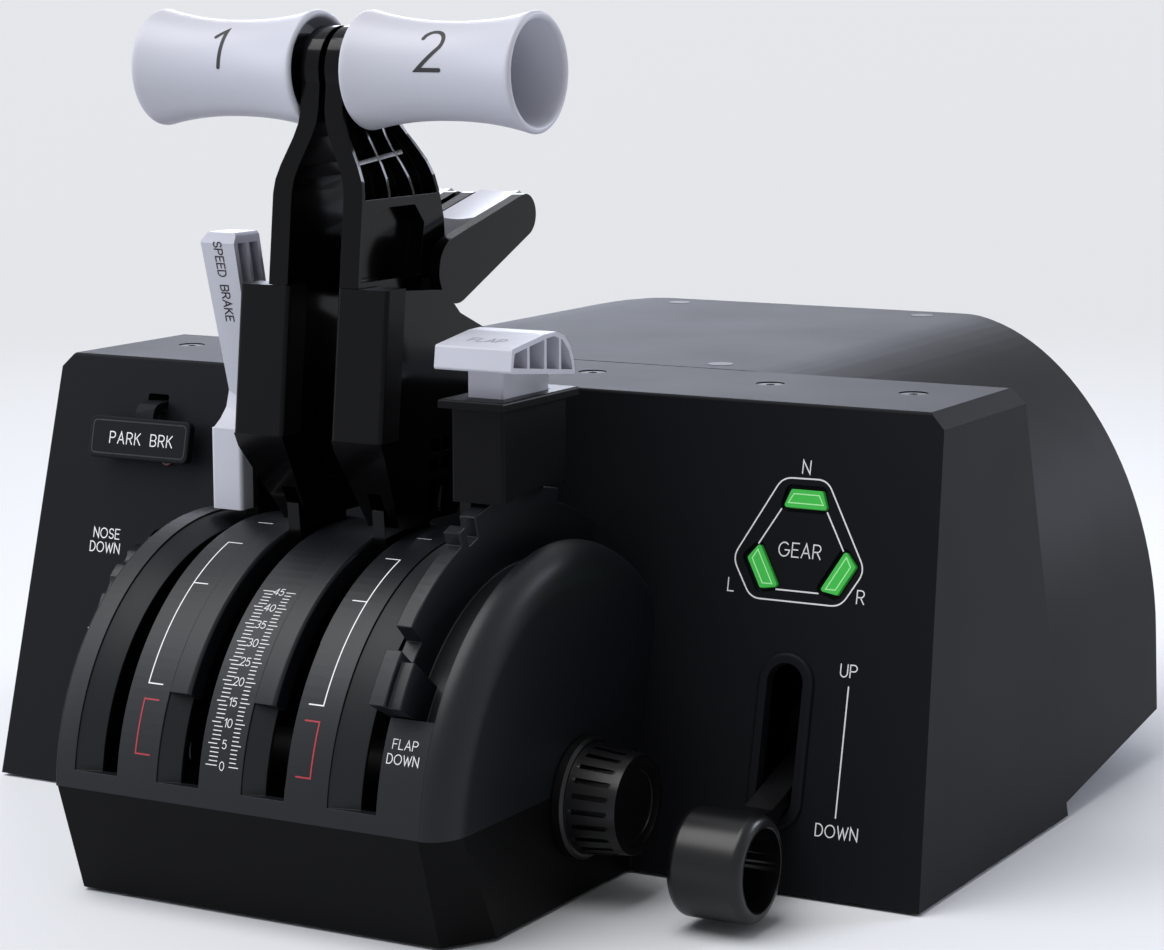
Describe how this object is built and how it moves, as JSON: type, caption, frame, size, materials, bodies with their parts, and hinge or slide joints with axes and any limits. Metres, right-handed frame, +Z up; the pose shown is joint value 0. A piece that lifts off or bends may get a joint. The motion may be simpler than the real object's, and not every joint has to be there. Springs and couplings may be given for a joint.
{
  "type": "desk throttle quadrant",
  "caption": "Desk flight-simulator throttle quadrant: wedge housing with lamps, gear and trim controls, and a pedestal whose levers swing through slots in an arc cover.",
  "frame": {"origin": "on the desk, under the middle of the whole quadrant's box", "axes": "+X to the user's right, +Y away from the user towards the rear of the housing, +Z up"},
  "size_m": [0.32, 0.3714, 0.2452],
  "materials": {
    "housing_black": "fine matt",
    "pedestal_black": "satin",
    "gloss_black": "gloss",
    "shroud_black": "satin",
    "light_grey": "satin",
    "black_metal": "satin",
    "steel": "brushed",
    "rubber": "matt",
    "lamp_green": "clear",
    "lamp_red": "clear",
    "board_green": "solder mask",
    "nylon_white": "matt"
  },
  "bodies": {
    "quadrant": {"front_housing": "housing_black", "rear_housing": "housing_black", "rear_floor": "housing_black", "base_plate": "housing_black", "housing_screws": "black_metal", "top_plugs": "light_grey", "usb_socket": "steel", "rubber_feet": "rubber", "main_board": "board_green", "gear_bezel": "housing_black", "gear_lamps": "lamp_green", "lamp_board": "board_green", "gear_bracket": "housing_black", "gear_pin": "steel", "trim_axle": "steel", "trim_bracket": "housing_black", "park_brake_bracket": "housing_black", "park_brake_pin": "steel", "park_brake_lamp": "lamp_red", "pedestal_base": "pedestal_black", "pedestal_floor": "housing_black", "arc_cover": "pedestal_black", "left_side_cover": "pedestal_black", "right_side_cover": "pedestal_black", "slot_guide_1": "pedestal_black", "slot_guide_2": "pedestal_black", "flap_gate": "pedestal_black", "lever_axle": "steel", "bearing_plate_left": "housing_black", "bearing_plate_right": "housing_black", "friction_discs": "nylon_white", "axle_spacers": "steel"},
    "thrust_lever_1": {"thrust_arm_1": "gloss_black", "thrust_body_1": "gloss_black", "thrust_shroud_1": "shroud_black", "thrust_knob_1": "light_grey", "reverse_pin_1": "steel"},
    "thrust_lever_2": {"thrust_arm_2": "gloss_black", "thrust_body_2": "gloss_black", "thrust_shroud_2": "shroud_black", "thrust_knob_2": "light_grey", "reverse_pin_2": "steel"},
    "reverser_1": {"reverse_lever_1": "gloss_black", "reverse_pad_1": "light_grey"},
    "reverser_2": {"reverse_lever_2": "gloss_black", "reverse_pad_2": "light_grey"},
    "speed_brake_lever": {"speed_brake_arm": "gloss_black", "speed_brake_handle": "light_grey"},
    "flap_lever": {"flap_arm": "gloss_black", "flap_column": "shroud_black"},
    "flap_grip": {"flap_handle": "light_grey"},
    "landing_gear_lever": {"gear_lever": "housing_black", "gear_wheel": "housing_black"},
    "trim_roller": {"trim_wheel": "housing_black"},
    "park_brake_tab": {"park_brake_lever": "housing_black"},
    "side_knob": {"tension_knob": "housing_black", "tension_knob_cap": "housing_black"}
  },
  "joints": [
    {"name": "thrust_1", "type": "hinge", "parent": "quadrant", "child": "thrust_lever_1", "pos_m": [-0.01335, -0.1145, 0.0291], "axis": [1, 0, 0], "range_deg": [0, 69]},
    {"name": "thrust_2", "type": "hinge", "parent": "quadrant", "child": "thrust_lever_2", "pos_m": [0.01515, -0.1145, 0.0291], "axis": [1, 0, 0], "range_deg": [0, 69]},
    {"name": "reverse_1", "type": "hinge", "parent": "thrust_lever_1", "child": "reverser_1", "pos_m": [-0.0136, -0.0964, 0.172], "axis": [1, 0, 0], "range_deg": [0, 30]},
    {"name": "reverse_2", "type": "hinge", "parent": "thrust_lever_2", "child": "reverser_2", "pos_m": [0.0098, -0.0964, 0.172], "axis": [1, 0, 0], "range_deg": [0, 30]},
    {"name": "speed_brake", "type": "hinge", "parent": "quadrant", "child": "speed_brake_lever", "pos_m": [-0.0404, -0.1145, 0.0291], "axis": [1, 0, 0], "range_deg": [0, 70]},
    {"name": "flap", "type": "hinge", "parent": "quadrant", "child": "flap_lever", "pos_m": [0.04455, -0.1145, 0.0291], "axis": [1, 0, 0], "range_deg": [0, 62]},
    {"name": "flap_lift", "type": "slide", "parent": "flap_lever", "child": "flap_grip", "axis": [0, 0, 1], "range_m": [0, 0.006], "stiffness_N_per_m": 300, "springref_m": -0.003},
    {"name": "gear", "type": "hinge", "parent": "quadrant", "child": "landing_gear_lever", "pos_m": [0.1135, -0.0484, 0.0419], "axis": [-1, 0, 0], "range_deg": [0, 52]},
    {"name": "trim", "type": "hinge", "parent": "quadrant", "child": "trim_roller", "pos_m": [-0.107, -0.0687, 0.048], "axis": [1, 0, 0], "continuous": true},
    {"name": "park_brake", "type": "hinge", "parent": "quadrant", "child": "park_brake_tab", "pos_m": [-0.1138, -0.05502, 0.1182], "axis": [-1, 0, 0], "range_deg": [0, 20]},
    {"name": "tension", "type": "hinge", "parent": "quadrant", "child": "side_knob", "pos_m": [0.0793, -0.1145, 0.0291], "axis": [1, 0, 0], "range_deg": [-150, 150]}
  ]
}
